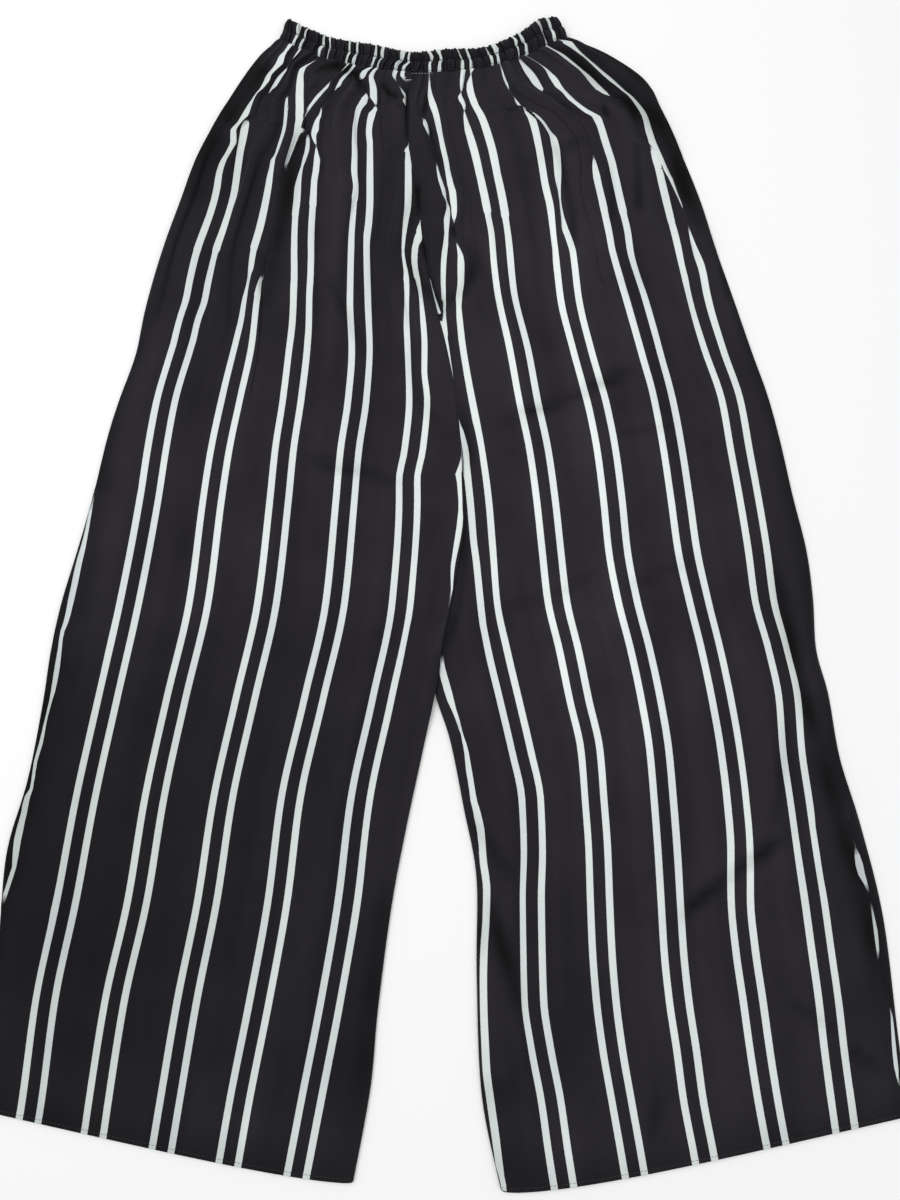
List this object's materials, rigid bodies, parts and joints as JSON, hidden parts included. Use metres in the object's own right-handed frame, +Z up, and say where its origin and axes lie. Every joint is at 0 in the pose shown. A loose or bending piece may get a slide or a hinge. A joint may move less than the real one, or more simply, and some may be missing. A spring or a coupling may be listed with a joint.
{
  "type": "palazzo pants",
  "caption": "Wide-leg pull-on palazzo pants laid flat, dark cloth with pale paired stripes, gathered into an elastic waist casing.",
  "frame": {"origin": "middle of the whole outline, on the surface that the pants lie on", "axes": "+Y from the hems to the waist, +X to the right of someone who looks down at the front, +Z up from the surface"},
  "size_m": [0.803, 1.0452, 0.0077],
  "materials": {
    "striped_cloth": "matte plain weave with pale paired stripes",
    "casing_cloth": "matte plain weave, gathered, with pale paired stripes",
    "thread": "dark sewing thread"
  },
  "bodies": {
    "root": {"front_left": "striped_cloth", "front_right": "striped_cloth", "back_left": "striped_cloth", "back_right": "striped_cloth", "waist_casing_front": "casing_cloth", "waist_casing_back": "casing_cloth"}
  },
  "joints": []
}
